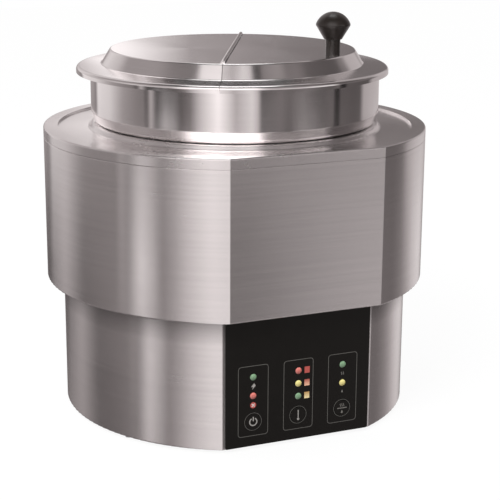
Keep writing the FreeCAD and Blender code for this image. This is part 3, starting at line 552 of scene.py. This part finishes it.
def print_signs(left, middle, right):
    """The signs and coloured squares beside the lamps, in three columns."""
    lamp_z = base_bottom + lamp_height * MM
    low_lamp_z = lamp_z - lamp_pair_pitch * MM
    sign("power_bolt", bolt_mark(), ink_pale, left, lamp_z - bolt_drop * MM)
    fault_z = low_lamp_z - fault_drop * MM
    stroke, stroke_back = cross_mark()
    sign("fault_disc", [circle(fault_radius, steps=32)], ink_red, left, fault_z)
    sign("fault_cross", [stroke], ink_white, left, fault_z, layer=1)
    sign("fault_cross_back", [stroke_back], ink_white, left, fault_z, layer=2)
    square_x = middle + square_offset * MM
    square = [bar(-square_width / 2, square_width / 2, -square_height / 2, square_height / 2)]
    row = lamp_row_pitch * MM
    sign("hot_square", square, ink_red, square_x, lamp_z)
    sign("warm_square", square, ink_warm, square_x, lamp_z - row)
    sign("low_square", square, ink_low, square_x, lamp_z - 2 * row)
    wet = steam((-0.9, 0.9), bottom=-1.5, top=1.5, swing=0.3)
    sign("wet_mark", wet, ink_dim, right, lamp_z - wet_drop * MM)
    dry = drop(width=1.6, bottom=-1.4, top=1.4)
    sign("dry_mark", [dry], ink_dim, right, low_lamp_z - dry_drop * MM)


def make_camera():
    """The camera at the photograph's viewing angle."""
    data = bpy.data.cameras.new("camera")
    data.lens = camera_lens
    data.sensor_width = camera_sensor
    bearing = math.radians(camera_bearing)
    place = axis + Vector((math.sin(bearing), -math.cos(bearing), 0)) * camera_distance
    place.z = camera_height
    turn = Matrix.Rotation(bearing - math.radians(camera_yaw), 4, "Z")
    tilt = Matrix.Rotation(math.radians(90 - camera_pitch), 4, "X")
    roll = Matrix.Rotation(math.radians(camera_roll), 4, "Z")
    camera = bpy.data.objects.new("camera", data)
    camera.matrix_world = Matrix.Translation(place) @ turn @ tilt @ roll
    scene.collection.objects.link(camera)
    scene.camera = camera


def show(tree, shader, output="OutputMaterial"):
    """Links a shader to its tree's output."""
    tree.links.new(shader.outputs[0], add(tree, output).inputs["Surface"])


def make_world():
    """Even soft light, and white wherever the camera or a reflection meets the background."""
    world = bpy.data.worlds.new("studio")
    world.use_nodes = True
    tree = world.node_tree
    tree.nodes.clear()
    path = add(tree, "LightPath").outputs
    seen = math_node(tree, "MAXIMUM", path["Is Camera Ray"], path["Is Glossy Ray"])
    seen = math_node(tree, "MAXIMUM", seen, path["Is Transmission Ray"])
    soft = add(tree, "Background", None, Color=WHITE, Strength=world_level)
    white = add(tree, "Background", None, Color=WHITE, Strength=1.0)
    mix = add(tree, "MixShader", None, i0=seen, i1=soft.outputs[0], i2=white.outputs[0])
    show(tree, mix, "OutputWorld")
    scene.world = world


def stage_material(name):
    """A material with an empty node tree, for the studio."""
    material = bpy.data.materials.new(name)
    material.use_nodes = True
    material.node_tree.nodes.clear()
    return material, material.node_tree


def stage_mesh(name, verts, faces, material):
    """A mesh that belongs to the studio and not to the kettle."""
    mesh = bpy.data.meshes.new(name)
    mesh.from_pydata(verts, [], faces)
    mesh.materials.append(material)
    piece = bpy.data.objects.new(name, mesh)
    scene.collection.objects.link(piece)
    return piece


def reflect_only(piece):
    """Keeps a studio piece out of everything but reflections, so it isn't sampled as a lamp."""
    piece.visible_camera = False
    piece.visible_diffuse = False
    piece.visible_shadow = False
    piece.data.materials[0].cycles.emission_sampling = "NONE"


def make_floor():
    """A white floor that keeps a faint shadow of the kettle."""
    material, tree = stage_material("floor")
    path = add(tree, "LightPath").outputs
    paint = add(tree, "BsdfDiffuse", None, Color=floor_paint)
    glow = add(tree, "Emission", None, Color=WHITE, Strength=floor_glow)
    seen = math_node(tree, "MULTIPLY", path["Is Camera Ray"], floor_glow_share)
    mix = add(tree, "MixShader", None, i0=seen, i1=paint.outputs[0], i2=glow.outputs[0])
    show(tree, mix)
    corners = [(x, y, 0) for x, y in bar(-floor_reach, floor_reach, -floor_reach, floor_reach)]
    floor = stage_mesh("floor", corners, [(0, 1, 2, 3)], material)
    floor.visible_glossy = False


def card_ramp(tree, turn, cards):
    """The colour of a ring of cards, by bearing: the dark ones are the warmest."""
    ramp = add(tree, "ValToRGB", None, Fac=turn)
    stops = ramp.color_ramp.elements
    while len(stops) < len(cards):
        stops.new(0.5)
    for stop, (bearing, level) in zip(stops, cards):
        stop.position = (bearing + 180) / 360
        share = level / screen_level
        cool = share * (card_warmth + (bright_warmth - card_warmth) * min(1.0, level))
        stop.color = (share, cool, cool, 1)
    return ramp.outputs[0]


def card_level(tree):
    """The screen's colour, by bearing from the camera and by height."""
    place = add(tree, "NewGeometry").outputs["Position"]
    turned = add(tree, "VectorRotate", {"rotation_type": "Z_AXIS"}, Vector=place,
                 Angle=-math.radians(camera_bearing))
    x, y, z = split(tree, turned.outputs[0])
    bearing = math_node(tree, "ARCTAN2", x, math_node(tree, "MULTIPLY", y, -1.0))
    turn = span(tree, bearing, 0.0, 1.0, -math.pi, math.pi)
    level = card_ramp(tree, turn, tiers[0][1])
    for (low, _), (high, cards) in zip(tiers, tiers[1:]):
        rise = span(tree, z, 0.0, 1.0, low, high)
        level = blend_colours(tree, rise, level, card_ramp(tree, turn, cards))
    return level


def make_screen():
    """The ring of light and dark cards round the studio."""
    material, tree = stage_material("cards")
    level = card_level(tree)
    depth = add(tree, "LightPath").outputs["Glossy Depth"]
    bounces = span(tree, depth, 0.0, triple_bounce - single_bounce, single_bounce, triple_bounce)
    bright = span(tree, level, 0.0, bounce_gain * screen_level, gain_from_level / screen_level,
                  gain_full_level / screen_level)
    strength = math_node(tree, "ADD", math_node(tree, "MULTIPLY", bounces, bright), screen_level)
    show(tree, add(tree, "Emission", None, Color=level, Strength=strength))
    turns = [math.radians(360 * step / screen_steps) for step in range(screen_steps)]
    verts = [(axis.x + screen_radius * math.sin(turn), axis.y - screen_radius * math.cos(turn), z)
             for z in (screen_bottom, screen_top) for turn in turns]
    nexts = [(step + 1) % screen_steps for step in range(screen_steps)]
    faces = [(i, j, screen_steps + j, screen_steps + i) for i, j in enumerate(nexts)]
    reflect_only(stage_mesh("card_screen", verts, faces, material))


def make_top_card():
    """The dark ceiling and its bright card, which draws a light line on the rounded edges."""
    material, tree = stage_material("top_card")
    place = add(tree, "NewGeometry").outputs["Position"]
    turn = Matrix.Rotation(math.radians(camera_bearing), 3, "Z")
    centre = axis + turn @ Vector((0, top_card_offset, screen_top))
    over = add(tree, "VectorMath", {"operation": "DISTANCE"}, i0=place, i1=centre).outputs["Value"]
    level = span(tree, over, top_card_level, ceiling_level, top_card_radius,
                 top_card_edge * top_card_radius)
    show(tree, add(tree, "Emission", None, Color=WHITE, Strength=level))
    verts = [(axis.x + u, axis.y + v, screen_top) for u, v in circle(screen_radius, ceiling_steps)]
    reflect_only(stage_mesh("top_card", verts, [tuple(range(len(verts)))], material))


def make_key_light():
    """A large soft light over the camera's left."""
    data = bpy.data.lights.new("key_light", "AREA")
    data.shape = "DISK"
    data.size = key_light_size
    data.energy = key_light_power
    light = bpy.data.objects.new("key_light", data)
    light.location = axis + key_light_place
    aim = axis + key_light_target - light.location
    light.rotation_euler = aim.to_track_quat("-Z", "Y").to_euler()
    light.visible_glossy = False
    scene.collection.objects.link(light)


print_signs(*print_keys())
make_camera()
make_world()
make_floor()
make_screen()
make_top_card()
make_key_light()
